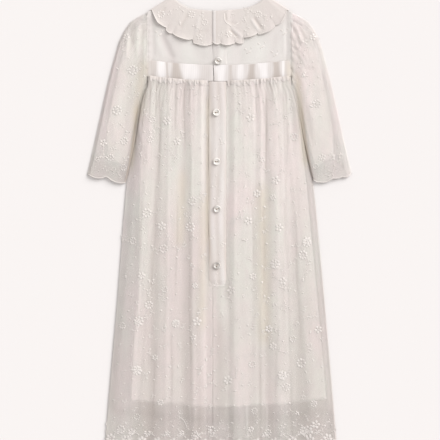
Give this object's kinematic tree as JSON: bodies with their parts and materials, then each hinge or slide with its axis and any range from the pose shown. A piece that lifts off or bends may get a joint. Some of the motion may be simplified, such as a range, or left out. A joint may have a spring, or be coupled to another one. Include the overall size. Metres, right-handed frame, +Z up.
{
  "type": "baby dress",
  "caption": "Lace baby dress laid flat with its back up: ruffled collar, ribbon at a high waist, gathered skirt, puffed sleeves and a buttoned back.",
  "frame": {"origin": "centre of the dress's outline, on the surface that it lies on", "axes": "+Z up from the surface, +Y towards the shoulders, +X to the wearer's right, as seen from above with the back up"},
  "size_m": [0.3988, 0.6901, 0.0092],
  "materials": {
    "lace": "embroidered net, matte",
    "lining": "plain soft weave",
    "yoke_cloth": "net over a plain soft weave",
    "satin_ribbon": "satin",
    "shell_button": "polished shell"
  },
  "bodies": {
    "root": {"skirt_front": "lace", "skirt_back_left": "lace", "skirt_back_right": "lace", "lining_front": "lining", "lining_back": "lining", "yoke_front": "yoke_cloth", "yoke_back_left": "yoke_cloth", "yoke_back_right": "yoke_cloth", "ribbon_front": "satin_ribbon", "ribbon_back_left": "satin_ribbon", "ribbon_back_right": "satin_ribbon", "collar_left": "lace", "collar_right": "lace", "sleeve_left": "lace", "sleeve_right": "lace", "sleeve_lining_left": "lining", "sleeve_lining_right": "lining", "placket_yoke": "yoke_cloth", "placket_skirt": "lace", "button_1": "shell_button", "button_2": "shell_button", "button_3": "shell_button", "button_4": "shell_button", "button_5": "shell_button"}
  },
  "joints": []
}
